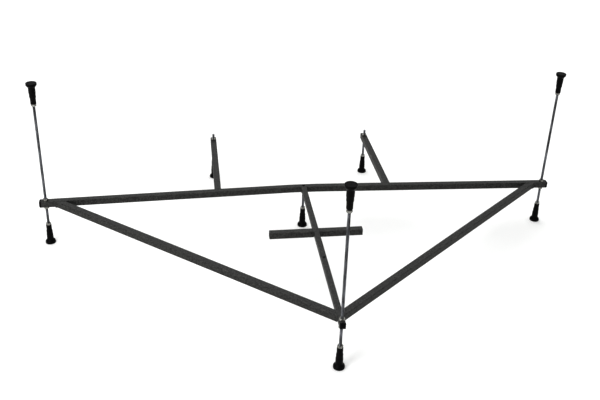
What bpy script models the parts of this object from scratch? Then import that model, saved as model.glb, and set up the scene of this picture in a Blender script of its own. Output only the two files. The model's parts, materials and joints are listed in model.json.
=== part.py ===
"""Support frame for a corner bathtub: a welded flat frame of square steel tube on screw feet.

Six threaded studs pass down through the frame to plastic screw feet. Three of them also
reach up to plastic pads that carry the bath's rim. The script is in metres with +Z up,
+X to the right along the long bar and +Y to the rear, where the room's corner is.
"""

import math

import bmesh
import bpy
from mathutils import Vector

# Square steel tube
TUBE = 0.025  # outer width of every bar but the centre bar
CENTRE_TUBE = 0.020  # outer width of the centre bar
WALL = 0.0015
FRAME_TOP = 0.187  # height of the tubes' common top face above the floor
GAP = 0.0003  # clearance between pieces that touch

# Plan of the frame, measured from the line between the left and right studs
STUD_SPREAD = 1.000  # left or right stud to the middle
BAR_CROWN = 0.041  # how far the long bar's middle lies behind the stud line
CROWN_FLAT = 0.050  # half of the long bar's straight middle stretch
SIDE_OVERHANG = 0.017  # tube beyond the left and right studs
FRONT_STUD_Y = -0.829
FRONT_OVERHANG = 0.014
REAR_STUD_X = 0.345
REAR_STUD_Y = 0.496
REAR_OVERHANG = 0.020
CROSS_Y = -0.299
CROSS_REACH = 0.173  # half of the cross bar's length
SPARE_HOLE_Y = -0.480
DIAGONAL_FRONT_Y = -0.816  # where the diagonals' outer faces would meet
DIAGONAL_ANGLE = math.radians(39.85)  # from the stud line
DIAGONAL_CUT = math.radians(37.0)  # a little off the joint's angle, so a wedge gap stays

# Threaded studs, nuts and holes, all M10
STUD_RADIUS = 0.00495
BORE_RADIUS = 0.0054
STUD_HOLE_RADIUS = 0.0058
SPARE_HOLE_RADIUS = 0.0048
STUD_CHAMFER = 0.001
NUT_FLATS = 0.017
NUT_HEIGHT = 0.008
NUT_CHAMFER = 0.0009
REAR_STUD_TOP = FRAME_TOP + 0.027
CENTRE_STUD_TOP = FRAME_TOP - 0.007  # ends inside the long bar

# Screw foot, also used upside down as the rim pad
FOOT_HEIGHT = 0.080
FOOT_BASE_RADIUS = 0.01925
FOOT_BODY_RADIUS = 0.0124
FOOT_COLLAR_RADIUS = 0.0115
FOOT_NECK_RADIUS = 0.0102
FOOT_RIM = 0.006  # height of the sole's upright rim
FOOT_FLARE = 0.0185  # height where the flare has narrowed to the body
FOOT_BODY = 0.038  # height of the body's top
FOOT_COLLAR = 0.054  # height of the collar's top
FOOT_STEP = 0.004  # height of the slope above the body and above the collar
FOOT_CHAMFER = 0.001
FOOT_BORE_FLOOR = 0.018
STUD_IN_FOOT = 0.035  # from the sole to the stud's end
PAD_TOP = 0.667
FRONT_PAD_NUT_DROP = 0.0035  # the front pad's lock nut isn't run up tight

# Plug in an open tube end
PLUG_SHANK = 0.008
PLUG_HEAD = 0.0085
PLUG_EDGE = 0.0022

# Fineness of round shapes
ROUND_SIDES = 16
FOOT_SIDES = 20
FLARE_STEPS = 4

UP = Vector((0, 0, 1))
BAR_SLOPE = BAR_CROWN / (STUD_SPREAD - CROWN_FLAT)
BAR_TILT = math.atan(BAR_SLOPE)
SIDE_END = STUD_SPREAD + SIDE_OVERHANG
FRONT_END = FRONT_STUD_Y - FRONT_OVERHANG
REAR_END = REAR_STUD_Y + REAR_OVERHANG
SHIFT_Y = -(FRONT_END + REAR_END) / 2  # puts the origin under the object's middle


def clear_scene():
    for obj in list(bpy.data.objects):
        bpy.data.objects.remove(obj, do_unlink=True)


def make_material(name, colour, roughness, metallic):
    made = bpy.data.materials.new(name)
    made.use_nodes = True
    shader = made.node_tree.nodes["Principled BSDF"]
    shader.inputs["Base Color"].default_value = (*colour, 1)
    shader.inputs["Roughness"].default_value = roughness
    shader.inputs["Metallic"].default_value = metallic
    made.diffuse_color = (*colour, 1)
    return made


def add_object(name, shape, finish, location=(0, 0, 0), parent=None):
    """Turn a bmesh into an object, shaded smooth except across its sharp edges."""
    bmesh.ops.recalc_face_normals(shape, faces=shape.faces)
    mesh = bpy.data.meshes.new(name)
    shape.to_mesh(mesh)
    shape.free()
    mesh.shade_smooth()
    mesh.set_sharp_from_angle(angle=math.radians(30))
    mesh.materials.append(finish)
    obj = bpy.data.objects.new(name, mesh)
    obj.location = location
    obj.parent = parent
    bpy.context.scene.collection.objects.link(obj)
    return obj


def place(x, y, z=0.0):
    """A point of the plan, given from the stud line, in the object's own frame."""
    return Vector((x, y + SHIFT_Y, z))


def long_bar_y(x):
    """Y of the long bar's centreline."""
    return BAR_CROWN - BAR_SLOPE * max(0.0, abs(x) - CROWN_FLAT)


def skin(shape, rings, closed=False):
    """Join rings of vertices with quads; a ring of one vertex is a point on the axis."""
    pairs = zip(rings, rings[1:] + rings[:1]) if closed else zip(rings, rings[1:])
    for a, b in pairs:
        sides = max(len(a), len(b))
        for k in range(sides):
            after = (k + 1) % sides
            corners = [a[k % len(a)], a[after % len(a)], b[after % len(b)], b[k % len(b)]]
            corners = list(dict.fromkeys(corners))
            if len(corners) > 2:
                shape.faces.new(corners)


def turned(profile, sides):
    """A solid of revolution about Z from an outline of (radius, height) points."""
    shape = bmesh.new()
    rings = []
    for radius, height in profile:
        turns = [2 * math.pi * k / sides for k in range(sides if radius else 1)]
        points = [(radius * math.cos(t), radius * math.sin(t), height) for t in turns]
        rings.append([shape.verts.new(point) for point in points])
    skin(shape, rings)
    return shape


def bore(obj, radius, centre, bottom, top, parent=None):
    """Cut an upright round hole through an object."""
    outline = [(0, bottom), (radius, bottom), (radius, top), (0, top)]
    name = f"{obj.name}_cutter_{len(obj.modifiers)}"
    cutter = add_object(name, turned(outline, ROUND_SIDES), obj.active_material, centre, parent)
    cutter.hide_render = True
    cutter.display_type = "WIRE"
    cut = obj.modifiers.new(cutter.name, "BOOLEAN")
    cut.operation = "DIFFERENCE"
    cut.solver = "EXACT"
    cut.object = cutter


def drill_bar(bar, x, y, radius):
    """Drill a hole down through both walls of a bar."""
    bore(bar, radius, place(x, y), FRAME_TOP - 2 * TUBE, FRAME_TOP + TUBE)


def square_tube(name, path, width, end_cuts, finish):
    """A hollow tube along a level path of (x, y) points, with mitred bends.

    Each end lies in the upright plane with the given normal through the path's end.
    """
    path = [place(x, y, FRAME_TOP - width / 2) for x, y in path]
    runs = [(b - a).normalized() for a, b in zip(path, path[1:])]
    bends = [(a + b).normalized() for a, b in zip(runs, runs[1:])]
    cuts = [end_cuts[0], *bends, end_cuts[1]]
    shape = bmesh.new()
    rings = []
    for half in (width / 2, width / 2 - WALL):
        walk = list(zip(path, cuts, [*runs, runs[-1]]))
        if half < width / 2:
            walk.reverse()
        for point, cut, run in walk:
            across = run.cross(UP)
            ring = []
            for side, rise in ((-1, -1), (1, -1), (1, 1), (-1, 1)):
                corner = (across * side + UP * rise) * half
                corner -= run * corner.dot(cut) / run.dot(cut)
                ring.append(shape.verts.new(point + corner))
            rings.append(ring)
    skin(shape, rings, closed=True)
    return add_object(name, shape, finish)


def add_stud(name, leg, bottom, top, finish):
    """A threaded stud, as a rod of the thread's outer size with chamfered ends."""
    tip = STUD_RADIUS - STUD_CHAMFER
    length = top - bottom
    outline = [
        (0, 0),
        (tip, 0),
        (STUD_RADIUS, STUD_CHAMFER),
        (STUD_RADIUS, length - STUD_CHAMFER),
        (tip, length),
        (0, length),
    ]
    add_object(name, turned(outline, ROUND_SIDES), finish, (0, 0, bottom), leg)


def add_nut(name, leg, bottom, finish):
    """A hexagon nut: a bored prism with its corners chamfered at both faces."""
    corner = NUT_FLATS / 2 / math.cos(math.pi / 6)
    outline = [
        (0, 0),
        (corner - NUT_CHAMFER, 0),
        (corner, NUT_CHAMFER),
        (corner, NUT_HEIGHT - NUT_CHAMFER),
        (corner - NUT_CHAMFER, NUT_HEIGHT),
        (0, NUT_HEIGHT),
    ]
    nut = add_object(name, turned(outline, 6), finish, (0, 0, bottom), leg)
    bore(nut, BORE_RADIUS, (0, 0, bottom), -NUT_HEIGHT, 2 * NUT_HEIGHT, leg)


def foot_outline():
    """The screw foot's outline from its sole up, with a half-cosine flare."""
    outline = [(0, 0), (FOOT_BASE_RADIUS - FOOT_CHAMFER, 0), (FOOT_BASE_RADIUS, FOOT_CHAMFER)]
    for k in range(FLARE_STEPS + 1):
        share = k / FLARE_STEPS
        inward = (FOOT_BASE_RADIUS - FOOT_BODY_RADIUS) * (1 - math.cos(math.pi * share)) / 2
        outline.append((FOOT_BASE_RADIUS - inward, FOOT_RIM + (FOOT_FLARE - FOOT_RIM) * share))
    outline += [
        (FOOT_BODY_RADIUS, FOOT_BODY),
        (FOOT_COLLAR_RADIUS, FOOT_BODY + FOOT_STEP),
        (FOOT_COLLAR_RADIUS, FOOT_COLLAR),
        (FOOT_NECK_RADIUS, FOOT_COLLAR + FOOT_STEP),
        (FOOT_NECK_RADIUS, FOOT_HEIGHT - FOOT_CHAMFER),
        (FOOT_NECK_RADIUS - FOOT_CHAMFER, FOOT_HEIGHT),
        (BORE_RADIUS, FOOT_HEIGHT),
        (BORE_RADIUS, FOOT_BORE_FLOOR),
        (0, FOOT_BORE_FLOOR),
    ]
    return outline


def add_foot(name, leg, sole, direction, finish):
    """A screw foot: direction 1 stands it on its sole, -1 hangs it below its sole."""
    outline = [(radius, direction * height) for radius, height in foot_outline()]
    add_object(name, turned(outline, FOOT_SIDES), finish, (0, 0, sole), leg)


def add_plug(name, x, y, outward, width, finish):
    """A push-in plug at a tube's end: a square shank and a head with a domed face."""
    shank = width / 2 - WALL - GAP
    head = width / 2
    sections = (
        (-PLUG_SHANK, shank),
        (GAP, shank),
        (GAP, head),
        (PLUG_HEAD - 2 * PLUG_EDGE, head),
        (PLUG_HEAD - PLUG_EDGE / 2, head - PLUG_EDGE),
        (PLUG_HEAD, head / 2),
    )
    across = outward.cross(UP)
    shape = bmesh.new()
    rings = []
    for along, half in sections:
        corners = [(across * a + UP * b) * half for a, b in ((-1, -1), (1, -1), (1, 1), (-1, 1))]
        rings.append([shape.verts.new(outward * along + corner) for corner in corners])
    skin(shape, rings)
    shape.faces.new(rings[0])
    shape.faces.new(rings[-1])
    add_object(name, shape, finish, place(x, y, FRAME_TOP - width / 2))


def build_long_bar(paint, plastic):
    """The long bar, crowned to the rear, with three stud holes and two end plugs."""
    end_y = long_bar_y(SIDE_END)
    path = [(-SIDE_END, end_y), (-CROWN_FLAT, BAR_CROWN), (CROWN_FLAT, BAR_CROWN), (SIDE_END, end_y)]
    left = Vector((-math.cos(BAR_TILT), -math.sin(BAR_TILT), 0))
    right = Vector((math.cos(BAR_TILT), -math.sin(BAR_TILT), 0))
    bar = square_tube("long_bar", path, TUBE, (left, right), paint)
    for x in (-STUD_SPREAD, 0, STUD_SPREAD):
        drill_bar(bar, x, long_bar_y(x), STUD_HOLE_RADIUS)
    add_plug("left_end_plug", -SIDE_END, end_y, left, TUBE, plastic)
    add_plug("right_end_plug", SIDE_END, end_y, right, TUBE, plastic)


def build_centre_bar(paint, plastic):
    """The narrower centre bar, from the long bar's front face to the front stud."""
    forward = Vector((0, -1, 0))
    path = [(0, BAR_CROWN - TUBE / 2 - GAP), (0, FRONT_END)]
    bar = square_tube("centre_bar", path, CENTRE_TUBE, (forward, forward), paint)
    drill_bar(bar, 0, FRONT_STUD_Y, STUD_HOLE_RADIUS)
    drill_bar(bar, 0, SPARE_HOLE_Y, SPARE_HOLE_RADIUS)
    add_plug("front_end_plug", 0, FRONT_END, forward, CENTRE_TUBE, plastic)


def build_diagonal(name, side, paint):
    """A diagonal from the centre bar's flank to the long bar's front face.

    Its outer face starts at DIAGONAL_FRONT_Y on the middle line. Its rear end is sawn so
    that the outer corner meets the long bar and a narrow wedge stays open inside.
    """
    run = Vector((side * math.cos(DIAGONAL_ANGLE), math.sin(DIAGONAL_ANGLE), 0))
    inward = Vector((-side * math.sin(DIAGONAL_ANGLE), math.cos(DIAGONAL_ANGLE), 0))
    start = Vector((0, DIAGONAL_FRONT_Y, 0)) + inward * TUBE / 2
    flank = CENTRE_TUBE / 2 + GAP
    front = start + run * (flank - side * start.x) / math.cos(DIAGONAL_ANGLE)
    bar_face = BAR_CROWN + BAR_SLOPE * CROWN_FLAT - (TUBE / 2 + GAP) / math.cos(BAR_TILT)
    outer_length = (bar_face - DIAGONAL_FRONT_Y) / (run.y + BAR_SLOPE * abs(run.x))
    rear = start + run * (outer_length - TUBE / 2 / math.tan(DIAGONAL_CUT))
    lean = DIAGONAL_ANGLE - DIAGONAL_CUT
    rear_cut = Vector((-side * math.sin(lean), math.cos(lean), 0))
    path = [(front.x, front.y), (rear.x, rear.y)]
    square_tube(name, path, TUBE, (Vector((1, 0, 0)), rear_cut), paint)


def build_cross_arm(name, side, paint):
    """Half of the cross bar, standing out from the centre bar's flank."""
    path = [(side * (CENTRE_TUBE / 2 + GAP), CROSS_Y), (side * CROSS_REACH, CROSS_Y)]
    along = Vector((1, 0, 0))
    square_tube(name, path, TUBE, (along, along), paint)


def build_rear_bar(name, side, paint, plastic):
    """A rear bar, from the long bar's rear face back past the rear stud."""
    x = side * REAR_STUD_X
    start_y = long_bar_y(x) + (TUBE / 2 + GAP) / math.cos(BAR_TILT)
    backward = Vector((0, 1, 0))
    bar_normal = Vector((side * math.sin(BAR_TILT), math.cos(BAR_TILT), 0))
    path = [(x, start_y), (x, REAR_END)]
    bar = square_tube(f"{name}_bar", path, TUBE, (bar_normal, backward), paint)
    drill_bar(bar, x, REAR_STUD_Y, STUD_HOLE_RADIUS)
    add_plug(f"{name}_end_plug", x, REAR_END, backward, TUBE, plastic)


def build_leg(name, x, y, stud_top, width, zinc, plastic, pad_nut_drop=None):
    """A stud through a bar of this width, with its nuts, its foot and, if any, its rim pad.

    A stud that ends inside the bar is held by one nut welded under it.
    """
    leg = bpy.data.objects.new(f"{name}_leg", None)
    leg.location = place(x, y)
    bpy.context.scene.collection.objects.link(leg)
    add_stud(f"{name}_stud", leg, STUD_IN_FOOT, stud_top, zinc)
    add_foot(f"{name}_foot", leg, 0, 1, plastic)
    add_nut(f"{name}_foot_lock_nut", leg, FOOT_HEIGHT + GAP, zinc)
    below_bar = FRAME_TOP - width - GAP - NUT_HEIGHT
    if stud_top < FRAME_TOP:
        add_nut(f"{name}_weld_nut", leg, below_bar, zinc)
    else:
        add_nut(f"{name}_lower_clamp_nut", leg, below_bar, zinc)
        add_nut(f"{name}_upper_clamp_nut", leg, FRAME_TOP + GAP, zinc)
    if pad_nut_drop is not None:
        nut_top = PAD_TOP - FOOT_HEIGHT - GAP - pad_nut_drop
        add_nut(f"{name}_pad_lock_nut", leg, nut_top - NUT_HEIGHT, zinc)
        add_foot(f"{name}_rim_pad", leg, PAD_TOP, -1, plastic)


def main():
    clear_scene()
    paint = make_material("dark_grey_paint_on_steel", (0.055, 0.055, 0.053), 0.45, 0.0)
    zinc = make_material("zinc_plated_steel", (0.42, 0.43, 0.44), 0.35, 1.0)
    plastic = make_material("black_moulded_plastic", (0.012, 0.012, 0.013), 0.4, 0.0)

    build_long_bar(paint, plastic)
    build_centre_bar(paint, plastic)
    for name, side in (("left", -1), ("right", 1)):
        build_diagonal(f"{name}_diagonal", side, paint)
        build_cross_arm(f"{name}_cross_arm", side, paint)
        build_rear_bar(f"rear_{name}", side, paint, plastic)

    tall = PAD_TOP - STUD_IN_FOOT
    side_y = long_bar_y(STUD_SPREAD)
    build_leg("left", -STUD_SPREAD, side_y, tall, TUBE, zinc, plastic, pad_nut_drop=0)
    build_leg("right", STUD_SPREAD, side_y, tall, TUBE, zinc, plastic, pad_nut_drop=0)
    build_leg(
        "front", 0, FRONT_STUD_Y, tall, CENTRE_TUBE, zinc, plastic, pad_nut_drop=FRONT_PAD_NUT_DROP
    )
    build_leg("centre", 0, BAR_CROWN, CENTRE_STUD_TOP, TUBE, zinc, plastic)
    for name, side in (("rear_left", -1), ("rear_right", 1)):
        x = side * REAR_STUD_X
        build_leg(name, x, REAR_STUD_Y, REAR_STUD_TOP, TUBE, zinc, plastic)


main()
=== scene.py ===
"""Looks for the support frame of a corner bathtub: square steel tube on screw feet.

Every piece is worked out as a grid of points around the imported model's own nodes, in metres,
and carries a procedural finish. The panel in the 3D view's sidebar lists the steps in order.
"""

import json
import math

import bmesh
import bpy
import numpy as np
from mathutils import Matrix, Vector
from mathutils.geometry import convex_hull_2d


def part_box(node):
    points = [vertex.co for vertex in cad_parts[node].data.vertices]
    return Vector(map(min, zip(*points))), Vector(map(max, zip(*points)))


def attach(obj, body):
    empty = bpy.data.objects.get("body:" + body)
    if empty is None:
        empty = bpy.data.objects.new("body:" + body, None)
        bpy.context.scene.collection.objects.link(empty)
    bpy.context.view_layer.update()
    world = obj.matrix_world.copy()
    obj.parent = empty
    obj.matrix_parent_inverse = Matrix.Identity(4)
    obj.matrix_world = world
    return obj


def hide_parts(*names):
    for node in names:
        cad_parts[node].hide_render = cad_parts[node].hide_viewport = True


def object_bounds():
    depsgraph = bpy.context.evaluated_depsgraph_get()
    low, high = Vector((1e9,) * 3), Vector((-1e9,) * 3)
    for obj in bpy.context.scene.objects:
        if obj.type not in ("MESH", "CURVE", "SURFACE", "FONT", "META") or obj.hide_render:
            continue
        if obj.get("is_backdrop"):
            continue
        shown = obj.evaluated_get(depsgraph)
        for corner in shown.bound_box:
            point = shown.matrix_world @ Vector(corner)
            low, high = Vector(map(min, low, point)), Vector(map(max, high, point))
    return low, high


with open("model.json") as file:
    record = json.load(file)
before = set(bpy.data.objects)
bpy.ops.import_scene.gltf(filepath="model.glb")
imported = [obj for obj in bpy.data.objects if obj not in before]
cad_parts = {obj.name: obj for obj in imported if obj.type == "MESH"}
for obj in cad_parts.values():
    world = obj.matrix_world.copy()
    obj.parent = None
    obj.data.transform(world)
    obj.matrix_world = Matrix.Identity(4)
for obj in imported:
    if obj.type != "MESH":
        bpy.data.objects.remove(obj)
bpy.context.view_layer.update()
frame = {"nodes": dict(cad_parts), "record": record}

bl_info = {
    "name": "Bathtub support frame",
    "version": (1, 0, 0),
    "blender": (4, 5, 0),
    "location": "View3D > Sidebar > Bath frame",
    "description": "Builds the tubes, welds, studs, nuts, feet and plugs of a bathtub's support frame",
    "category": "Mesh",
}

LEGS = ("left", "right", "front", "centre", "rear_left", "rear_right")
TALL_LEGS = ("left", "right", "front")
SIDES = ("left", "right")
UP = np.array([0.0, 0.0, 1.0])

FRAME_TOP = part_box("long_bar")[1].z
CENTRE_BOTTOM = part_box("centre_bar")[0].z

# Meshes, in metres
SHARP_ANGLE = 32.0  # degrees, above which an edge is shaded sharp
MERGE_DISTANCE = 1e-6
TOP_FACE_DEPTH = 1e-5  # points this near a tube's top belong to its top face
SIDE_INSET = 0.0004  # from a rolled corner to the point that keeps a side's shading flat
ROUND_LIMIT = 0.45  # most of a side that one rounded corner may take up
DRILL_DEPTH = 0.1  # above and below the frame's top
DRILL_SIDES = 48
TUBE_END_REACH = 0.5  # an end facing sideways by more than this is measured along X

# Weld beads
BEAD_SIDES = 12
BEAD_STEPS = 4  # points along each ripple
BEAD_DIP = 0.16  # how far the radius falls between ripples
BEAD_SWELL = 0.07  # how far it drifts on the slow wave
BEAD_SWELL_RIPPLES = 7  # ripples in one slow wave
BEAD_SWELL_OFFSET = 40  # per metre of X, so that no two beads swell alike
BEAD_FADE = 0.7  # widths over which an open bead narrows to its end
BEAD_SUNK = 0.32  # widths that a ground bead lies below the frame's top
BEAD_TURN = 0.002  # radius of a bead's turn at a tube's corner
NUT_BEAD_OUT = 0.12  # widths from the centre nut's flats to its bead's middle
NUT_BEAD_DROP = 0.1  # widths from the long bar's underside to it
REAR_SEAM = 0.38  # welded share of a diagonal's rear end, beside the open wedge

# Threads and nuts
THREAD_SIDES = 24
THREAD_EDGES = (0, 1 / 8, 7 / 16, 11 / 16)  # crest's and root's edges, in pitches
STUD_CHAMFER = 1.15  # thread depths
NUT_SIDES = 72
NUT_CONE_START = 0.96  # of the inner radius
NUT_CONE_ANGLE = 30.0  # degrees
NUT_COUNTERSINK = 0.0006
NUT_LIP = 0.0002

# Screw foot and rim pad, as shares of the sole's radius and of the height
FOOT_SIDES = 96
FOOT_BODY, FOOT_COLLAR, FOOT_NECK = 0.645, 0.60, 0.53
FOOT_RIM_TOP, FOOT_FLARE_TOP = 0.075, 0.23
FOOT_BODY_TOP, FOOT_COLLAR_BASE, FOOT_COLLAR_TOP, FOOT_NECK_BASE = 0.475, 0.525, 0.675, 0.725
FOOT_BORE_FLOOR = 0.225
FOOT_DISH, FOOT_SOLE = 0.78, 0.82  # outer edge of the dish, and inner edge of the flat rim
FLARE_POINTS = 13
FOOT_BORE = 0.0053  # radius, metres
GATE_RADIUS, GATE_EDGE, GATE_DEPTH = 0.0011, 0.0014, 0.0003
DISH_DEPTH = 0.0007
DISH_INNER = 0.0045
RIM_ROUND, STEP_ROUND = 0.0010, 0.0009
RIDGE_SHARPNESS = 200  # power of the cosine that draws the parting line
RIDGE_INNER = 0.009  # radius inside which there is no parting line

# Tube plug
SHANK_DEPTH = 0.008
SHANK_ROUND = 0.001
PLUG_GAP = 0.0003
PLUG_EDGE = 0.0003
SHANK_TAPER = 0.0006
DOME_START = 0.48  # of the head's length
DOME_POINTS = 15
DOME_SIDE_POWER, DOME_TOP_POWER = 2.6, 2.2  # of the superellipse
DOME_CORNER_POWER = 1.5


def linear(code):
    """Linear colour of an sRGB hex code, by the sRGB curve: a line below 0.04045, a power above."""
    values = [int(code[k : k + 2], 16) / 255 for k in (1, 3, 5)]
    return tuple(v / 12.92 if v <= 0.04045 else ((v + 0.055) / 1.055) ** 2.4 for v in values)


# ---------------------------------------------------------------- sizes and colours


def length(name, description, default):
    """A length in metres, shown in the scene's units."""
    return bpy.props.FloatProperty(
        name=name, description=description, default=default, min=0.0, unit="LENGTH", precision=5
    )


def colour(name, description, code):
    """A colour that defaults to an sRGB hex code."""
    return bpy.props.FloatVectorProperty(
        name=name, description=description, default=linear(code), subtype="COLOR", min=0, max=1
    )


class BathFrameSizes(bpy.types.PropertyGroup):
    """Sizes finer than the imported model's."""

    tube_corner: length("Tube corner", "Outer radius of the square tube's rolled corners", 0.0022)
    tube_wall: length("Tube wall", "Thickness of the square tube's wall", 0.0015)
    sawn_edge: length("Sawn edge", "Width of the broken edge at a sawn tube end", 0.0003)
    stud_hole: length("Stud hole", "Diameter of the holes that the studs pass through", 0.0116)
    spare_hole: length("Spare hole", "Diameter of the spare hole in the centre bar", 0.0096)
    bead: length("Weld bead", "Width of the weld beads", 0.0046)
    bead_ripple: length("Bead ripple", "Distance between the ripples along a weld bead", 0.0022)
    pitch: length("Thread pitch", "Rise of the M10 thread in one turn", 0.0015)
    thread_depth: length("Thread depth", "Depth of the M10 thread", 0.00092)
    nut_bore: length("Nut bore", "Diameter of the nuts' bores at the thread's crests", 0.0101)
    parting_line: length("Parting line", "Height of the mould's parting line", 0.00015)


class BathFrameColours(bpy.types.PropertyGroup):
    """Colours of the finishes."""

    paint: colour("Paint", "Dark grey enamel", "#161615")
    paint_thin: colour("Thin paint", "Enamel where it lies thin and dusty", "#444442")
    paint_worn: colour("Worn paint", "Corners where the enamel is rubbed through", "#52514d")
    bead: colour("Weld bead", "Enamel over a weld bead", "#1c1c1c")
    stud: colour("Stud plating", "Blue zinc plating on the studs", "#989a9f")
    stud_dull: colour("Dull stud plating", "Oiled and dulled plating on the studs", "#4c4b4a")
    nut: colour("Nut plating", "Zinc plating on the nuts", "#9c9c98")
    nut_dull: colour("Dull nut plating", "Dulled plating on the nuts", "#686762")
    foot: colour("Foot plastic", "Black polyethylene of the feet and rim pads", "#040404")
    foot_scuffed: colour("Scuffed plastic", "Scuffed patches on the feet and pads", "#101011")
    plug: colour("Plug plastic", "Black polyethylene of the end plugs", "#040404")
    floor: colour("Floor", "Pale studio floor", "#f4f4f2")


# ---------------------------------------------------------------- shapes


def outline_square(half, corner, steps=4):
    """Points round a square with rolled corners: four quarter arcs, joined by straight sides.

    Each side also has a point just inside each of its ends, which keeps its shading flat.
    """
    turn = np.linspace(0, math.pi / 2, steps + 1)
    arc = np.stack([np.cos(turn), np.sin(turn)], axis=1) * corner + (half - corner)
    inside = min(SIDE_INSET, half - corner)
    start, end = arc[0] - [0, inside], arc[-1] - [inside, 0]
    quarter = np.vstack([start, arc, end])
    spin = [np.array([[c, s], [-s, c]]) for c, s in ((1, 0), (0, 1), (-1, 0), (0, -1))]
    return np.vstack([quarter @ matrix for matrix in spin])


def on_corner(steps=4):
    """1 for each outline point on a rolled corner and 0 for each one on a flat side."""
    return np.tile([0.0] + [1.0] * (steps + 1) + [0.0], 4)


def round_corners(points, radius, steps=4, closed=False):
    """A line of points with each corner replaced by a quadratic curve that starts radius before it."""
    points = np.asarray(points, float)
    before, after = np.roll(points, 1, axis=0), np.roll(points, -1, axis=0)
    back, on = before - points, after - points
    back_length = np.linalg.norm(back, axis=1, keepdims=True)
    on_length = np.linalg.norm(on, axis=1, keepdims=True)
    reach = np.minimum(radius, np.minimum(back_length, on_length) * ROUND_LIMIT)
    start, end = points + back / back_length * reach, points + on / on_length * reach
    t = np.linspace(0, 1, steps + 1)[None, :, None]
    curves = (1 - t) ** 2 * start[:, None] + 2 * t * (1 - t) * points[:, None] + t**2 * end[:, None]
    if closed:
        return curves.reshape(-1, points.shape[1])
    return np.vstack([points[:1], curves[1:-1].reshape(-1, points.shape[1]), points[-1:]])


def turned(outline, columns, centre, ridge=0.0):
    """Surface of revolution: each (radius, height) of the outline swept once round the centre.

    A ridge adds its height times the 200th power of the cosine, a thin line on two opposite
    sides, wherever the outline is wider than RIDGE_INNER.
    """
    outline = np.asarray(outline, float)
    angle = np.arange(columns) / columns * 2 * math.pi
    lift = ridge * np.cos(angle) ** RIDGE_SHARPNESS * (outline[:, :1] > RIDGE_INNER)
    radius = outline[:, :1] + lift
    rings = np.empty((len(outline), columns, 3))
    rings[..., 0] = centre[0] + radius * np.cos(angle)
    rings[..., 1] = centre[1] + radius * np.sin(angle)
    rings[..., 2] = centre[2] + outline[:, 1:]
    return rings


def grid_faces(rows, columns, loop, shift):
    """Vertex numbers of the faces of a grid whose columns close round.

    With loop its last row joins its first. With shift its last column joins the first one
    that many rows further on, as on a screw, and its first and last rows are poles.
    """
    here = np.arange(rows * columns).reshape(rows, columns)
    beside = np.roll(here, -1, axis=1)
    if shift:
        row = np.clip(np.arange(rows) + shift, 1, rows - 2)
        row[[0, -1]] = 0, rows - 1
        beside[:, -1] = here[row, 0]
    above, above_beside = np.roll(here, -1, axis=0), np.roll(beside, -1, axis=0)
    faces = np.stack([here, beside, above_beside, above], axis=-1)
    return (faces if loop else faces[:-1]).reshape(-1, 4)


def mesh_of(name, rings, loop=False, shift=0, wear=None):
    """A closed mesh of a grid of points, its coincident points merged and its faces outward."""
    rows, columns = rings.shape[:2]
    mesh = bpy.data.meshes.new(name)
    mesh.from_pydata(rings.reshape(-1, 3), [], grid_faces(rows, columns, loop, shift))
    if wear is not None:
        worn = mesh.attributes.new("wear", "FLOAT", "POINT")
        worn.data.foreach_set("value", np.broadcast_to(wear, (rows, columns)).ravel())
    tidy_mesh(mesh)
    return mesh


def tidy_mesh(mesh):
    """Merge points closer than a micrometre, drop collapsed faces and face the shell outward."""
    shape = bmesh.new()
    shape.from_mesh(mesh)
    bmesh.ops.remove_doubles(shape, verts=shape.verts, dist=MERGE_DISTANCE)
    bmesh.ops.recalc_face_normals(shape, faces=shape.faces)
    shape.to_mesh(mesh)
    shape.free()


def add_piece(name, mesh, body, finish, stands_for=()):
    """Put a mesh in the scene with its finish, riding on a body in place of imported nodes."""
    mesh.shade_smooth()
    mesh.set_sharp_from_angle(angle=math.radians(SHARP_ANGLE))
    mesh.materials.clear()
    mesh.materials.append(finish)
    piece = bpy.data.objects.new(name, mesh)
    bpy.context.scene.collection.objects.link(piece)
    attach(piece, body)
    if stands_for:
        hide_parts(*stands_for)
    return piece


def drill(mesh, centre, diameter):
    """Cut an upright round hole right through a mesh of the frame's tubes."""
    radius = diameter / 2
    low, high = -DRILL_DEPTH, DRILL_DEPTH
    outline = [(0, low), (radius, low), (radius, high), (0, high)]
    cutter_mesh = mesh_of("drill", turned(outline, DRILL_SIDES, (*centre, FRAME_TOP)))
    cutter = bpy.data.objects.new("drill", cutter_mesh)
    blank = bpy.data.objects.new("blank", mesh)
    for helper in (cutter, blank):
        bpy.context.scene.collection.objects.link(helper)
    cut = blank.modifiers.new("hole", "BOOLEAN")
    cut.operation = "DIFFERENCE"
    cut.solver = "EXACT"
    cut.object = cutter
    graph = bpy.context.evaluated_depsgraph_get()
    drilled = bpy.data.meshes.new_from_object(blank.evaluated_get(graph))
    for helper in (cutter, blank):
        bpy.data.objects.remove(helper)
    bpy.data.meshes.remove(cutter_mesh)
    bpy.data.meshes.remove(mesh)
    return drilled


# ---------------------------------------------------------------- places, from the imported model


def leg_axis(leg):
    """X and Y of a leg's stud."""
    low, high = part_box(f"{leg}_stud")
    middle = (low + high) / 2
    return middle.x, middle.y


def plan_corners(node):
    """Corners of a tube's top face in plan, anticlockwise, as its convex hull gives them."""
    mesh = frame["nodes"][node].data
    points = np.empty(len(mesh.vertices) * 3, np.float32)
    mesh.vertices.foreach_get("co", points)
    points = points.reshape(-1, 3).astype(float)
    top = points[points[:, 2] > points[:, 2].max() - TOP_FACE_DEPTH, :2]
    top = np.unique(np.round(top, 6), axis=0)
    hull = convex_hull_2d([tuple(point) for point in top])
    return top[hull]


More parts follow.
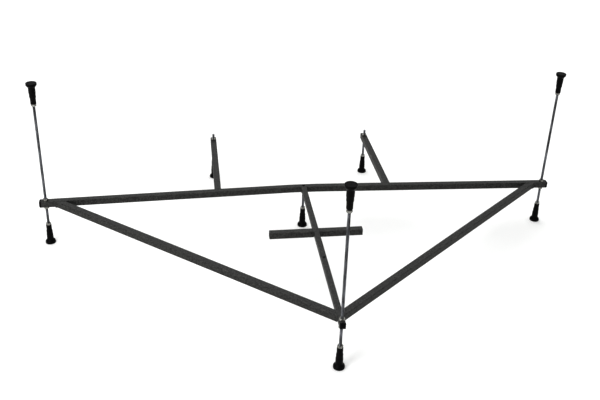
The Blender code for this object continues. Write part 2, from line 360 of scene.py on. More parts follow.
def straight_path(node):
    """Ends of a straight tube's centreline in plan, and the directions its ends are cut across."""
    corners = plan_corners(node)
    sides = np.roll(corners, -1, axis=0) - corners
    cuts = np.sort(np.argsort(np.linalg.norm(sides, axis=1))[:2])
    path = np.array([corners[k] + sides[k] / 2 for k in cuts])
    run = path[1] - path[0]
    normals = np.array([(-sides[k][1], sides[k][0]) for k in cuts])
    normals /= np.linalg.norm(normals, axis=1, keepdims=True)
    normals *= np.sign(normals @ run)[:, None]
    return path, normals


def long_bar_path():
    """Centreline of the long bar in plan, left end to right end, and its ends' cut directions.

    The hull has both corners of each end and the two rear corners of the middle's bends. The
    centreline's bend lies half a width before a rear corner and half the bend's angle outward.
    """
    corners = plan_corners("long_bar")
    half = (FRAME_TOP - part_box("long_bar")[0].z) / 2
    right = corners[corners[:, 0] > 0]
    order = np.argsort(right[:, 0])
    bend = right[order[0]]
    end = right[order[1:]]
    run = end[np.argmax(end[:, 1])] - bend
    run /= np.linalg.norm(run)
    tilt = math.atan2(-run[1], run[0])
    bend = bend + np.array([half * math.tan(tilt / 2), -half])
    tip = end.mean(axis=0)
    path = np.array([tip * (-1, 1), bend * (-1, 1), bend, tip])
    return path, np.array([run * (1, -1), run])


# ---------------------------------------------------------------- tubes


def tube_rings(path, cuts, width, sizes):
    """A square outline carried along a level path and back along the tube's inner wall.

    At each point of the path the outline's points slide along the run until they lie in the
    cut's plane. At a bend the cut's direction halves the angle between the two runs.
    """
    half, edge = width / 2, sizes.sawn_edge
    path = np.column_stack([path, np.full(len(path), FRAME_TOP - half)])
    runs = np.diff(path, axis=0)
    runs /= np.linalg.norm(runs, axis=1, keepdims=True)
    bends = runs[:-1] + runs[1:]
    cuts = np.pad(cuts, ((0, 0), (0, 1)))
    normals = np.vstack([cuts[:1], bends, cuts[1:]])
    runs = np.vstack([runs, runs[-1:]])

    def ring(place, outline, inward=0.0):
        run, normal = runs[place], normals[place]
        across = np.cross(run, UP)
        flat = outline[:, :1] * across + outline[:, 1:] * UP
        slide = (flat @ normal) / (run @ normal)
        return path[place] + inward * run + flat - slide[:, None] * run

    last = len(path) - 1
    outer = outline_square(half, sizes.tube_corner)
    broken = outline_square(half - edge, sizes.tube_corner - edge / 2)
    inner_half = half - sizes.tube_wall
    inner = outline_square(inner_half, sizes.tube_corner - sizes.tube_wall / 2)
    rings = [ring(0, broken), ring(0, outer, edge)]
    rings += [ring(k, outer) for k in range(1, last)]
    rings += [ring(last, outer, -edge), ring(last, broken)]
    rings += [ring(k, inner) for k in range(last, -1, -1)]
    worn = [np.ones(len(outer))] + [on_corner()] * (last + 1) + [np.ones(len(outer))]
    worn += [np.zeros(len(outer))] * (last + 1)
    return np.array(rings), np.array(worn)


class BATHFRAME_OT_tubes(bpy.types.Operator):
    """Build the eight square tubes, with rolled corners, sawn ends and drilled holes"""

    bl_idname = "bathframe.tubes"
    bl_label = "Square tubes"

    def execute(self, context):
        sizes = context.scene.bathframe_sizes
        finish = enamelled_steel(context.scene.bathframe_colours)
        hole = frame["record"]["physics"]["openings"][0]["box_m"]
        spare = (np.array(hole[0]) + np.array(hole[1]))[:2] / 2
        holes = {
            "long_bar": [(*leg_axis(leg), sizes.stud_hole) for leg in ("left", "centre", "right")],
            "centre_bar": [(*leg_axis("front"), sizes.stud_hole), (*spare, sizes.spare_hole)],
            "left_diagonal": [],
            "right_diagonal": [],
            "left_cross_arm": [],
            "right_cross_arm": [],
            "rear_left_bar": [(*leg_axis("rear_left"), sizes.stud_hole)],
            "rear_right_bar": [(*leg_axis("rear_right"), sizes.stud_hole)],
        }
        for node, drilled in holes.items():
            width = FRAME_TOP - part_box(node)[0].z
            path, cuts = long_bar_path() if node == "long_bar" else straight_path(node)
            rings, worn = tube_rings(path, cuts, width, sizes)
            mesh = mesh_of(f"{node}_tube", rings, loop=True, wear=worn)
            for x, y, diameter in drilled:
                mesh = drill(mesh, (x, y), diameter)
            add_piece(f"{node}_tube", mesh, "frame", finish, [node])
        return {"FINISHED"}


# ---------------------------------------------------------------- weld beads


def bead_rings(path, normal, sizes, closed):
    """A round section carried along a path in one plane, its radius rippled like laid metal.

    The radius falls and rises as the absolute sine of the distance over the ripple, on a slow
    wave seven ripples long. An open bead's radius also falls to nothing at its ends, as the
    root of the distance to them.
    """
    path = np.asarray(path, float)
    if closed:
        path = np.vstack([path, path[:1]])
    steps = np.linalg.norm(np.diff(path, axis=0), axis=1)
    along = np.concatenate([[0], np.cumsum(steps)])
    count = int(along[-1] / (sizes.bead_ripple / BEAD_STEPS)) + 1
    ripples = max(1, round(along[-1] / sizes.bead_ripple))
    spots = np.linspace(0, along[-1], count, endpoint=not closed)
    centre = np.stack([np.interp(spots, along, path[:, k]) for k in range(3)], axis=1)
    ahead = np.roll(centre, -1, axis=0) - np.roll(centre, 1, axis=0)
    if not closed:
        ahead[[0, -1]] = centre[1] - centre[0], centre[-1] - centre[-2]
    ahead /= np.linalg.norm(ahead, axis=1, keepdims=True)
    side = np.cross(ahead, normal)
    share = spots / along[-1]
    swells = max(1, round(ripples / BEAD_SWELL_RIPPLES))
    offset = centre[0, 0] * BEAD_SWELL_OFFSET
    wave = 1 - BEAD_DIP * np.abs(np.sin(math.pi * ripples * share))
    wave += BEAD_SWELL * np.sin(2 * math.pi * swells * share + offset)
    radius = sizes.bead / 2 * wave
    if not closed:
        reach = np.minimum(spots, along[-1] - spots) / (sizes.bead * BEAD_FADE)
        radius *= np.sqrt(np.clip(reach, 0, 1))
    angle = np.arange(BEAD_SIDES) / BEAD_SIDES * 2 * math.pi
    flat = np.cos(angle)[None, :, None] * np.asarray(normal)
    flat = flat + np.sin(angle)[None, :, None] * side[:, None]
    return centre[:, None] + radius[:, None, None] * flat


def joint_frame(first, second, bottom, sunk):
    """Corners of the seam round a tube end: across its top, down, back along below and up.

    The top run is sunk, as where a bead is ground down to leave the frame's top level.
    """
    top = FRAME_TOP - sunk
    return [(*first, top), (*first, bottom), (*second, bottom), (*second, top)]


class BATHFRAME_OT_welds(bpy.types.Operator):
    """Lay the weld beads round each joint of the tubes and round the centre nut"""

    bl_idname = "bathframe.welds"
    bl_label = "Weld beads"

    def execute(self, context):
        sizes = context.scene.bathframe_sizes
        finish = enamelled_weld(context.scene.bathframe_colours)
        sunk = sizes.bead * BEAD_SUNK
        seams = {}
        for name in SIDES:
            for kind in ("cross_arm", "diagonal"):
                path, cuts = straight_path(f"{name}_{kind}")
                inner = int(np.argmin(np.abs(path[:, 0])))
                corners = end_corners(f"{name}_{kind}", path[inner])
                seams[f"{name}_{kind}_weld"] = (corners, cuts[inner], CENTRE_BOTTOM, True)
            path, cuts = straight_path(f"rear_{name}_bar")
            near = int(np.argmin(path[:, 1]))
            corners = end_corners(f"rear_{name}_bar", path[near])
            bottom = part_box("long_bar")[0].z
            seams[f"rear_{name}_bar_weld"] = (corners, cuts[near], bottom, True)
            path, cuts = straight_path(f"{name}_diagonal")
            far = int(np.argmax(np.abs(path[:, 0])))
            corners = end_corners(f"{name}_diagonal", path[far])
            outer, inner = corners[np.argsort(-np.abs(corners[:, 0]))]
            reach = outer + (inner - outer) * REAR_SEAM
            seams[f"{name}_diagonal_rear_weld"] = (np.array([outer, reach]), cuts[far], bottom, False)
        path, cuts = straight_path("centre_bar")
        rear = int(np.argmax(path[:, 1]))
        corners = end_corners("centre_bar", path[rear])
        seams["centre_bar_weld"] = (corners, cuts[rear], CENTRE_BOTTOM, True)
        for name, (corners, cut, bottom, closed) in seams.items():
            frame_line = joint_frame(corners[0], corners[1], bottom, sunk)
            if not closed:
                frame_line = [frame_line[k] for k in (3, 0, 1, 2)]
            path = round_corners(frame_line, BEAD_TURN, closed=closed)
            rings = bead_rings(path, (*cut, 0.0), sizes, closed)
            mesh = mesh_of(name, rings, loop=closed)
            add_piece(name, mesh, "frame", finish)
        low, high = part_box("centre_weld_nut")
        angle = np.linspace(0, 2 * math.pi, 49)[:-1]
        reach = (high.y - low.y) / 2 + sizes.bead * NUT_BEAD_OUT
        ring = np.stack([reach * np.cos(angle), reach * np.sin(angle), angle * 0], axis=1)
        ring += (*leg_axis("centre"), high.z - sizes.bead * NUT_BEAD_DROP)
        mesh = mesh_of("centre_nut_weld", bead_rings(ring, (0, 0, 1), sizes, True), loop=True)
        add_piece("centre_nut_weld", mesh, "frame", finish)
        return {"FINISHED"}


def end_corners(node, end):
    """The two plan corners of a tube's top face at the end that lies at this point."""
    corners = plan_corners(node)
    return corners[np.argsort(np.linalg.norm(corners - end, axis=1))[:2]]


# ---------------------------------------------------------------- studs and nuts


def stud_rings(centre, bottom, top, radius, sizes):
    """A rod with an M10 thread: each row of the grid climbs one pitch in its turn.

    Four rows make one pitch: the crest's two edges and the root's two edges, which the thread's
    proportions put at 0, 1/8, 7/16 and 11/16 of it. Rows past an end lie in the end's plane,
    and a 45 degree chamfer, which cuts off whatever lies outside it, leaves them one circle.
    """
    columns = THREAD_SIDES
    turns = int((top - bottom) / sizes.pitch) + 4
    share = np.tile(THREAD_EDGES, turns) + np.repeat(np.arange(turns), 4) - 2
    depth = np.tile([0, 0, 1, 1], turns) * sizes.thread_depth
    angle = np.arange(columns) / columns * 2 * math.pi
    height = bottom + sizes.pitch * (share[:, None] + angle / (2 * math.pi))
    height = np.clip(height, bottom, top)
    chamfer = radius - sizes.thread_depth * STUD_CHAMFER + np.minimum(height - bottom, top - height)
    reach = np.minimum(radius - depth[:, None], chamfer)
    height = np.vstack([np.full(columns, bottom), height, np.full(columns, top)])
    reach = np.vstack([np.zeros(columns), reach, np.zeros(columns)])
    x = centre[0] + reach * np.cos(angle)
    y = centre[1] + reach * np.sin(angle)
    return np.stack([x, y, height], axis=-1)


class BATHFRAME_OT_studs(bpy.types.Operator):
    """Cut the M10 thread on the six studs"""

    bl_idname = "bathframe.studs"
    bl_label = "Threaded studs"

    def execute(self, context):
        sizes = context.scene.bathframe_sizes
        finish = plated_stud(context.scene.bathframe_colours)
        for leg in LEGS:
            low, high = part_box(f"{leg}_stud")
            rings = stud_rings(leg_axis(leg), low.z, high.z, (high.x - low.x) / 2, sizes)
            mesh = mesh_of(f"{leg}_stud_thread", rings, shift=4)
            body = f"{leg}_stud"
            add_piece(f"{leg}_stud_thread", mesh, body, finish, [body])
        return {"FINISHED"}


def nut_rings(centre, bottom, height, flats, sizes):
    """A hexagon nut: a bored hexagon whose faces are turned down to a 30 degree cone.

    A hexagon's radius is half its width over the cosine of the angle from the nearest flat's
    middle. The cone drops the face by the radius beyond the cone's start times tan 30. Both
    ends of the bore are countersunk at 45 degrees.
    """
    columns = NUT_SIDES
    angle = np.arange(columns) / columns * 2 * math.pi
    from_flat = np.mod(angle, math.pi / 3) - math.pi / 6
    corner = flats / 2 / np.cos(from_flat)
    start = flats / 2 * NUT_CONE_START
    drop = (corner - start) * math.tan(math.radians(NUT_CONE_ANGLE))
    bore, sink = sizes.nut_bore / 2, NUT_COUNTERSINK
    even = np.ones(columns)
    rows = [
        (bore * even, sink * even),
        ((bore + sink) * even, 0 * even),
        (start * even, 0 * even),
        (corner, drop),
        (corner, drop + NUT_LIP),
        (corner, height - drop - NUT_LIP),
        (corner, height - drop),
        (start * even, height * even),
        ((bore + sink) * even, height * even),
        (bore * even, (height - sink) * even),
    ]
    radius = np.array([row[0] for row in rows])
    level = np.array([row[1] for row in rows])
    x = centre[0] + radius * np.cos(angle)
    y = centre[1] + radius * np.sin(angle)
    return np.stack([x, y, bottom + level], axis=-1)


class BATHFRAME_OT_nuts(bpy.types.Operator):
    """Form the hexagon nuts that clamp the studs and lock the feet and rim pads"""

    bl_idname = "bathframe.nuts"
    bl_label = "Hexagon nuts"

    def execute(self, context):
        sizes = context.scene.bathframe_sizes
        finish = plated_nut(context.scene.bathframe_colours)
        for body, nodes in frame["record"]["behaviour"]["bodies"].items():
            for node in nodes:
                if not node.endswith("_nut"):
                    continue
                low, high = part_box(node)
                middle = (low + high) / 2
                flats = high.y - low.y
                rings = nut_rings((middle.x, middle.y), low.z, high.z - low.z, flats, sizes)
                mesh = mesh_of(f"{node}_hexagon", rings, loop=True)
                add_piece(f"{node}_hexagon", mesh, body, finish, [node])
        return {"FINISHED"}


# ---------------------------------------------------------------- plastic pieces


def foot_outline(base, height):
    """The screw foot's outline from its sole's middle, up the outside and down its bore.

    The sole is dished inside a flat rim, round a small gate mark. Above the rim the radius
    narrows as half a cosine wave, and then in two steps to the collar and the neck.
    """
    rim_top, flare_top = height * FOOT_RIM_TOP, height * FOOT_FLARE_TOP
    body, collar, neck = base * FOOT_BODY, base * FOOT_COLLAR, base * FOOT_NECK
    share = np.linspace(0, 1, FLARE_POINTS)
    flare = np.stack(
        [
            base - (base - body) * (1 - np.cos(math.pi * share)) / 2,
            rim_top + (flare_top - rim_top) * share,
        ],
        axis=1,
    )
    sole = [
        (0, GATE_DEPTH),
        (GATE_RADIUS, GATE_DEPTH),
        (GATE_EDGE, DISH_DEPTH),
        (DISH_INNER, DISH_DEPTH),
        (base * FOOT_DISH, DISH_DEPTH),
        (base * FOOT_SOLE, 0),
    ]
    rim = round_corners([sole[-1], (base, 0), (base, rim_top)], RIM_ROUND)
    steps = [
        flare[-1],
        (body, height * FOOT_BODY_TOP),
        (collar, height * FOOT_COLLAR_BASE),
        (collar, height * FOOT_COLLAR_TOP),
        (neck, height * FOOT_NECK_BASE),
        (neck, height),
        (FOOT_BORE, height),
        (FOOT_BORE, height * FOOT_BORE_FLOOR),
    ]
    upper = round_corners(steps, STEP_ROUND)
    tip = [(0, height * FOOT_BORE_FLOOR)]
    return np.vstack([sole[:-1], rim[:-1], flare[:-1], upper, tip])


class BATHFRAME_OT_feet(bpy.types.Operator):
    """Mould the six screw feet and the three upturned rim pads"""

    bl_idname = "bathframe.feet"
    bl_label = "Screw feet and rim pads"

    def execute(self, context):
        sizes = context.scene.bathframe_sizes
        finish = moulded_foot(context.scene.bathframe_colours)
        nodes = [(leg, f"{leg}_foot", 1) for leg in LEGS]
        nodes += [(leg, f"{leg}_rim_pad", -1) for leg in TALL_LEGS]
        for leg, node, direction in nodes:
            low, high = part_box(node)
            outline = foot_outline((high.x - low.x) / 2, high.z - low.z)
            outline[:, 1] *= direction
            sole = low.z if direction > 0 else high.z
            rings = turned(outline, FOOT_SIDES, (*leg_axis(leg), sole), sizes.parting_line)
            mesh = mesh_of(f"{node}_moulding", rings)
            add_piece(f"{node}_moulding", mesh, node, finish, [node])
        return {"FINISHED"}


def plug_rings(centre, outward, width, length, sizes):
    """A plug in a tube's end: a rounded square outline carried outward, then closed by a dome.

    Over the dome the outline's half width and the distance outward follow a superellipse,
    with the outline's corners growing rounder until it closes in a point.
    """
    half, corner = width / 2, sizes.tube_corner
    shank = half - sizes.tube_wall - PLUG_GAP
    dome_start = length * DOME_START
    turn = np.linspace(0, math.pi / 2, DOME_POINTS)
    dome_half = half * np.cos(turn) ** (2 / DOME_SIDE_POWER)
    dome_out = dome_start + (length - dome_start) * np.sin(turn) ** (2 / DOME_TOP_POWER)
    dome_corner = corner + (half - corner) * (1 - dome_half / half) ** DOME_CORNER_POWER
    rows = [
        (-SHANK_DEPTH, 0.0, 0.0),
        (-SHANK_DEPTH, shank - SHANK_TAPER, SHANK_ROUND),
        (-SHANK_DEPTH + SHANK_TAPER, shank, SHANK_ROUND),
        (PLUG_GAP, shank, SHANK_ROUND),
        (PLUG_GAP, half - PLUG_EDGE, corner),
        (PLUG_GAP + PLUG_EDGE, half, corner),
    ]
    rows += [(o, h, min(c, h)) for o, h, c in zip(dome_out, dome_half, dome_corner)]
    across = np.cross((*outward, 0.0), UP)
    rings = []
    for along, reach, rounded in rows:
        outline = outline_square(max(reach, 0.0), min(rounded, reach))
        point = np.array([*centre, FRAME_TOP - half])
        point[:2] += np.asarray(outward) * along
        rings.append(point + outline[:, :1] * across + outline[:, 1:] * UP)
    return np.array(rings)


class BATHFRAME_OT_plugs(bpy.types.Operator):
    """Mould the domed plugs in the tubes' open ends"""

    bl_idname = "bathframe.plugs"
    bl_label = "End plugs"

    def execute(self, context):
        sizes = context.scene.bathframe_sizes
        finish = moulded_plug(context.scene.bathframe_colours)
        long_path, long_cuts = long_bar_path()
        ends = {
            "left": ("long_bar", long_path[0], -long_cuts[0]),
            "right": ("long_bar", long_path[-1], long_cuts[1]),
        }
        for name, node, pick in (
            ("front", "centre_bar", np.argmin),
            ("rear_left", "rear_left_bar", np.argmax),
            ("rear_right", "rear_right_bar", np.argmax),
        ):
            path, cuts = straight_path(node)
            end = int(pick(path[:, 1]))
            away = path[end] - path[1 - end]
            ends[name] = (node, path[end], cuts[end] * np.sign(cuts[end] @ away))
        for name, (node, centre, outward) in ends.items():
            plug = f"{name}_end_plug"
            low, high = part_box(plug)
            tips = np.array([(x, y) for x in (low.x, high.x) for y in (low.y, high.y)])
            length = ((tips - centre) @ outward).max()
            if abs(outward[0]) > TUBE_END_REACH:
                length = (max(abs(low.x), abs(high.x)) - abs(centre[0])) / abs(outward[0])
            width = FRAME_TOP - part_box(node)[0].z
            rings = plug_rings(centre, outward, width, length, sizes)
            mesh = mesh_of(f"{plug}_moulding", rings)
            add_piece(f"{plug}_moulding", mesh, "frame", finish, [plug])
        return {"FINISHED"}


# ---------------------------------------------------------------- finishes


def add_node(tree, kind, inputs=None, **settings):
    """Add a node, set its properties, and set or link its inputs."""
    made = tree.nodes.new(kind)
    for key, value in settings.items():
        setattr(made, key, value)
    for key, value in (inputs or {}).items():
        if isinstance(value, bpy.types.NodeSocket):
            tree.links.new(value, made.inputs[key])
        else:
            made.inputs[key].default_value = value
    return made


def start_finish(name):
    """An empty material, its shader, and its Object coordinates."""
    finish = bpy.data.materials.new(name)
    finish.use_nodes = True
    tree = finish.node_tree
    shader = tree.nodes["Principled BSDF"]
    place = add_node(tree, "ShaderNodeTexCoord").outputs["Object"]
    return finish, tree, shader, place


def made_before(name):
    """The material of this name, if an earlier step made it."""
    return bpy.data.materials.get(name)


def enamelled_steel(colours):
    """Alkyd enamel, sprayed on welded mild steel tube.

    It gives a dark satin grey, blotchy where the coat is thin or dusty, with a fine orange
    peel, and lighter rubbed corners.
    """
    name = "sprayed_alkyd_enamel"
    if made_before(name):
        return made_before(name)
    finish, tree, shader, place = start_finish(name)
    # Blotches about 6 mm across, and grains of 2.5 mm, drawn coarser than the real ones to show.
    blotch = add_node(tree, "ShaderNodeTexNoise", {"Vector": place, "Scale": 1 / 0.006, "Detail": 2.0})
    grain = add_node(tree, "ShaderNodeTexNoise", {"Vector": place, "Scale": 1 / 0.0025, "Detail": 2.0})
    both = add_node(
        tree, "ShaderNodeMath", {0: blotch.outputs["Fac"], 1: grain.outputs["Fac"]}, operation="ADD"
    )
    thin = add_node(
        tree, "ShaderNodeMapRange", {"Value": both.outputs[0], "From Min": 0.78, "From Max": 1.26}
    )
    coat = add_node(
        tree,
        "ShaderNodeMix",
        {"Factor": thin.outputs["Result"], "A": (*colours.paint, 1), "B": (*colours.paint_thin, 1)},
        data_type="RGBA",
    )
    corner = add_node(tree, "ShaderNodeAttribute", attribute_name="wear", attribute_type="GEOMETRY")
    # Rubbed stretches 40 mm long, broken up by the grain.
    rub = add_node(tree, "ShaderNodeTexNoise", {"Vector": place, "Scale": 1 / 0.04, "Detail": 5.0})
    rubbed = add_node(
        tree, "ShaderNodeMapRange", {"Value": rub.outputs["Fac"], "From Min": 0.52, "From Max": 0.8}
    )
    worn = add_node(
        tree, "ShaderNodeMath", {0: rubbed.outputs["Result"], 1: corner.outputs["Fac"]}, operation="MULTIPLY"
    )
    look = add_node(
        tree,
        "ShaderNodeMix",
        {"Factor": worn.outputs[0], "A": coat.outputs["Result"], "B": (*colours.paint_worn, 1)},
        data_type="RGBA",
    )
    tree.links.new(look.outputs["Result"], shader.inputs["Base Color"])
    satin = add_node(
        tree, "ShaderNodeMapRange", {"Value": blotch.outputs["Fac"], "To Min": 0.42, "To Max": 0.62}
    )
    tree.links.new(satin.outputs["Result"], shader.inputs["Roughness"])
    peel = add_node(tree, "ShaderNodeTexNoise", {"Vector": place, "Scale": 1 / 0.0015, "Detail": 1.0})
    bump = add_node(
        tree, "ShaderNodeBump", {"Height": peel.outputs["Fac"], "Strength": 0.35, "Distance": 0.00008}
    )
    tree.links.new(bump.outputs["Normal"], shader.inputs["Normal"])
    shader.inputs["Specular IOR Level"].default_value = 0.2
    return finish


def enamelled_weld(colours):
    """The same enamel over an arc-welded bead.

    It gives a slightly darker, glossier skin over a lumpy surface with small pits.
    """
    name = "enamel_over_arc_weld"
    if made_before(name):
        return made_before(name)
    finish, tree, shader, place = start_finish(name)
    # Lumps of 2.5 mm, about one ripple of the bead.
    lump = add_node(tree, "ShaderNodeTexNoise", {"Vector": place, "Scale": 1 / 0.0025, "Detail": 4.0})
    shade = add_node(
        tree,
        "ShaderNodeMix",
        {"Factor": lump.outputs["Fac"], "A": (*colours.bead, 1), "B": (*colours.paint_thin, 1)},
        data_type="RGBA",
    )
    tree.links.new(shade.outputs["Result"], shader.inputs["Base Color"])
    gloss = add_node(
        tree, "ShaderNodeMapRange", {"Value": lump.outputs["Fac"], "To Min": 0.3, "To Max": 0.55}
    )
    tree.links.new(gloss.outputs["Result"], shader.inputs["Roughness"])
    pit = add_node(tree, "ShaderNodeTexVoronoi", {"Vector": place, "Scale": 1 / 0.0018})
    bump = add_node(
        tree, "ShaderNodeBump", {"Height": pit.outputs["Distance"], "Strength": 0.4, "Distance": 0.0002}
    )
    tree.links.new(bump.outputs["Normal"], shader.inputs["Normal"])
    shader.inputs["Specular IOR Level"].default_value = 0.2
    return finish


def plated(name, bright, dull, patch, shine):
    """Zinc electroplate over steel: a metal whose colour and roughness drift over patches."""
    if made_before(name):
        return made_before(name)
    finish, tree, shader, place = start_finish(name)
    # The patches run four times as long up the piece as across it, as dipping leaves them.
    stretched = add_node(tree, "ShaderNodeMapping", {"Vector": place, "Scale": (1, 1, 0.25)})
    drift = add_node(
        tree,
        "ShaderNodeTexNoise",
        {"Vector": stretched.outputs["Vector"], "Scale": 1 / patch, "Detail": 4.0, "Roughness": 0.6},
    )
    level = add_node(
        tree, "ShaderNodeMapRange", {"Value": drift.outputs["Fac"], "From Min": 0.35, "From Max": 0.65}
    )
    look = add_node(
        tree,
        "ShaderNodeMix",
        {"Factor": level.outputs["Result"], "A": (*bright, 1), "B": (*dull, 1)},
        data_type="RGBA",
    )
    tree.links.new(look.outputs["Result"], shader.inputs["Base Color"])
    rough = add_node(
        tree,
        "ShaderNodeMapRange",
        {"Value": level.outputs["Result"], "To Min": shine, "To Max": shine + 0.18},
    )
    tree.links.new(rough.outputs["Result"], shader.inputs["Roughness"])
    # Crystals of the plating, 0.5 mm.
    crystal = add_node(tree, "ShaderNodeTexNoise", {"Vector": place, "Scale": 1 / 0.0005, "Detail": 1.0})
    bump = add_node(
        tree, "ShaderNodeBump", {"Height": crystal.outputs["Fac"], "Strength": 0.15, "Distance": 0.00003}
    )
    tree.links.new(bump.outputs["Normal"], shader.inputs["Normal"])
    shader.inputs["Metallic"].default_value = 1.0
    return finish


def plated_stud(colours):
    """Bright zinc with a blue passivate on rolled thread: a cool grey metal, dull in streaks."""
    return plated("blue_zinc_on_rolled_thread", colours.stud, colours.stud_dull, 0.012, 0.3)


def plated_nut(colours):
    """Zinc on cold-formed nuts: a paler, warmer grey metal with small dull patches."""
    return plated("zinc_on_formed_nut", colours.nut, colours.nut_dull, 0.005, 0.34)


def moulded(name, dark, light, patch, matt, grain_size):
    """Injection moulded polyethylene: black, with scuffs, and the grain of the mould's steel."""
    if made_before(name):
        return made_before(name)
    finish, tree, shader, place = start_finish(name)
    scuff = add_node(
        tree, "ShaderNodeTexNoise", {"Vector": place, "Scale": 1 / patch, "Detail": 5.0, "Roughness": 0.65}
    )
    level = add_node(
        tree, "ShaderNodeMapRange", {"Value": scuff.outputs["Fac"], "From Min": 0.45, "From Max": 0.7}
    )
    look = add_node(
        tree,
        "ShaderNodeMix",
        {"Factor": level.outputs["Result"], "A": (*dark, 1), "B": (*light, 1)},
        data_type="RGBA",
    )
    tree.links.new(look.outputs["Result"], shader.inputs["Base Color"])
    rough = add_node(
        tree, "ShaderNodeMapRange", {"Value": level.outputs["Result"], "To Min": matt, "To Max": matt + 0.15}
    )
    tree.links.new(rough.outputs["Result"], shader.inputs["Roughness"])
    grain = add_node(tree, "ShaderNodeTexVoronoi", {"Vector": place, "Scale": 1 / grain_size})
    bump = add_node(
        tree, "ShaderNodeBump", {"Height": grain.outputs["Distance"], "Strength": 0.2, "Distance": 0.00006}
    )
    tree.links.new(bump.outputs["Normal"], shader.inputs["Normal"])
    shader.inputs["Specular IOR Level"].default_value = 0.06
    return finish


def moulded_foot(colours):
    """Black polyethylene from a spark-eroded mould, 0.8 mm grain: a soft sheen on deep black."""
    return moulded("eroded_black_polyethylene", colours.foot, colours.foot_scuffed, 0.01, 0.38, 0.0008)


def moulded_plug(colours):
    """Black polyethylene from a polished mould: small sharp highlights on deep black."""
    return moulded("polished_black_polyethylene", colours.plug, colours.foot_scuffed, 0.008, 0.16, 0.0012)


def studio_floor(colours):
    """Matt rolled paper: a pale ground with a barely visible mottle 0.3 m across."""
    finish, tree, shader, place = start_finish("pale_paper_roll")
    mottle = add_node(tree, "ShaderNodeTexNoise", {"Vector": place, "Scale": 1 / 0.3, "Detail": 2.0})
    shade = tuple(0.985 * value for value in colours.floor)
    look = add_node(
        tree,
        "ShaderNodeMix",
        {"Factor": mottle.outputs["Fac"], "A": (*colours.floor, 1), "B": (*shade, 1)},
        data_type="RGBA",
    )
    tree.links.new(look.outputs["Result"], shader.inputs["Base Color"])
    shader.inputs["Roughness"].default_value = 0.9
    shader.inputs["Specular IOR Level"].default_value = 0.1
    return finish


# ---------------------------------------------------------------- stage

FLOOR_REACH = 30.0
CAMERA_PLACE = (-0.4435, -2.6269, 1.7535)
CAMERA_YAW = 0.1692  # to the right of straight ahead, along +Y
CAMERA_PITCH = 0.4640  # down from level
CAMERA_ROLL = 0.0438
CAMERA_LENS = 48.36  # mm, on a sensor 36 mm wide
CAMERA_SHIFT = (-0.0244, -0.0723)
ROOM_STRENGTH = 0.56
VIEW_GAMMA = 0.8  # under 1 darkens the middle tones
SUN_STRENGTH = 2.3
SUN_ANGLE = 80.0  # degrees across, which leaves almost no shadow
SUN_TOWARD = (0.05, -0.4, -1.0)
PANEL_POWER = 60.0  # watts
PANEL_SIZE = 1.5
PANEL_PLACE = (-2.4, -2.2, 1.3)
PANEL_TOWARD = (1.6, 2.2, -1.0)


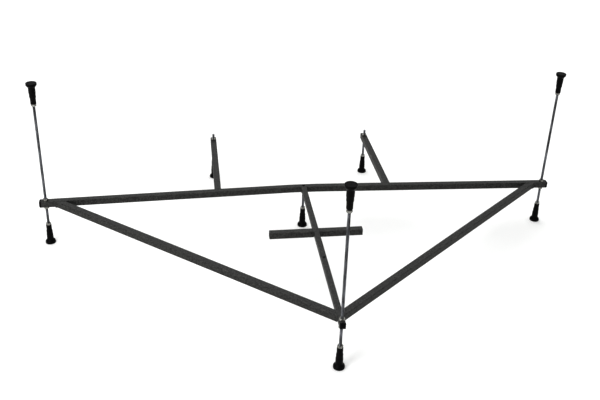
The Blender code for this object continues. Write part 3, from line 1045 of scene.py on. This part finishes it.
class BATHFRAME_OT_stage(bpy.types.Operator):
    """Lay the pale floor and set the soft light and the camera"""

    bl_idname = "bathframe.stage"
    bl_label = "Floor, light and camera"

    def execute(self, context):
        scene = context.scene
        reach = np.array([0, FLOOR_REACH / 4, FLOOR_REACH / 2, FLOOR_REACH])
        angle = np.linspace(0, 2 * math.pi, 65)[:-1]
        rings = np.zeros((4, 64, 3))
        rings[..., 0] = reach[:, None] * np.cos(angle)
        rings[..., 1] = reach[:, None] * np.sin(angle)
        rings[..., 2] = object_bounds()[0].z
        floor_mesh = mesh_of("studio_floor", rings)
        floor_mesh.materials.append(studio_floor(scene.bathframe_colours))
        floor = bpy.data.objects.new("studio_floor", floor_mesh)
        scene.collection.objects.link(floor)
        floor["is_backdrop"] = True
        self.light(scene)
        self.aim_camera(scene)
        return {"FINISHED"}

    def light(self, scene):
        """A pale room, a very soft overhead sun, and a panel at the front left."""
        room = bpy.data.worlds.new("pale_room")
        room.use_nodes = True
        ground = room.node_tree.nodes["Background"]
        ground.inputs["Color"].default_value = (*linear("#fbfcff"), 1)
        ground.inputs["Strength"].default_value = ROOM_STRENGTH
        scene.world = room
        scene.view_settings.view_transform = "Standard"
        scene.view_settings.gamma = VIEW_GAMMA
        sun = bpy.data.lights.new("soft_overhead", "SUN")
        sun.energy = SUN_STRENGTH
        sun.angle = math.radians(SUN_ANGLE)
        panel = bpy.data.lights.new("front_left_panel", "AREA")
        panel.energy = PANEL_POWER
        panel.size = PANEL_SIZE
        for light, place, toward in (
            (sun, (0, 0, 3), SUN_TOWARD),
            (panel, PANEL_PLACE, PANEL_TOWARD),
        ):
            lamp = bpy.data.objects.new(light.name, light)
            lamp.location = place
            lamp.rotation_euler = Vector(toward).to_track_quat("-Z", "Y").to_euler()
            scene.collection.objects.link(lamp)

    def aim_camera(self, scene):
        """A camera above the front, looking down on the whole frame."""
        camera = bpy.data.cameras.new("camera")
        camera.lens = CAMERA_LENS
        camera.sensor_width = 36.0
        camera.shift_x, camera.shift_y = CAMERA_SHIFT
        camera.clip_end = 200.0
        holder = bpy.data.objects.new("camera", camera)
        yaw = Matrix.Rotation(-CAMERA_YAW, 4, "Z")
        pitch = Matrix.Rotation(math.pi / 2 - CAMERA_PITCH, 4, "X")
        roll = Matrix.Rotation(CAMERA_ROLL, 4, "Z")
        holder.matrix_world = Matrix.Translation(CAMERA_PLACE) @ yaw @ pitch @ roll
        scene.collection.objects.link(holder)
        scene.camera = holder


# ---------------------------------------------------------------- panel and registration

STEPS = (
    BATHFRAME_OT_tubes,
    BATHFRAME_OT_welds,
    BATHFRAME_OT_studs,
    BATHFRAME_OT_nuts,
    BATHFRAME_OT_feet,
    BATHFRAME_OT_plugs,
    BATHFRAME_OT_stage,
)


class BATHFRAME_PT_steps(bpy.types.Panel):
    """The steps that build the frame, and the sizes and colours they read"""

    bl_idname = "BATHFRAME_PT_steps"
    bl_label = "Bathtub support frame"
    bl_space_type = "VIEW_3D"
    bl_region_type = "UI"
    bl_category = "Bath frame"

    def draw(self, context):
        for group in (context.scene.bathframe_sizes, context.scene.bathframe_colours):
            box = self.layout.box()
            for name in group.__annotations__:
                box.prop(group, name)
        for step in STEPS:
            self.layout.operator(step.bl_idname)


CLASSES = (BathFrameSizes, BathFrameColours, *STEPS, BATHFRAME_PT_steps)


def register():
    for cls in CLASSES:
        bpy.utils.register_class(cls)
    bpy.types.Scene.bathframe_sizes = bpy.props.PointerProperty(type=BathFrameSizes)
    bpy.types.Scene.bathframe_colours = bpy.props.PointerProperty(type=BathFrameColours)


def unregister():
    del bpy.types.Scene.bathframe_colours
    del bpy.types.Scene.bathframe_sizes
    for cls in reversed(CLASSES):
        bpy.utils.unregister_class(cls)


def main():
    """Build every piece in order."""
    register()
    bpy.ops.bathframe.stage()
    bpy.ops.bathframe.tubes()
    bpy.ops.bathframe.welds()
    bpy.ops.bathframe.studs()
    bpy.ops.bathframe.nuts()
    bpy.ops.bathframe.feet()
    bpy.ops.bathframe.plugs()


if __name__ == "__main__":
    main()
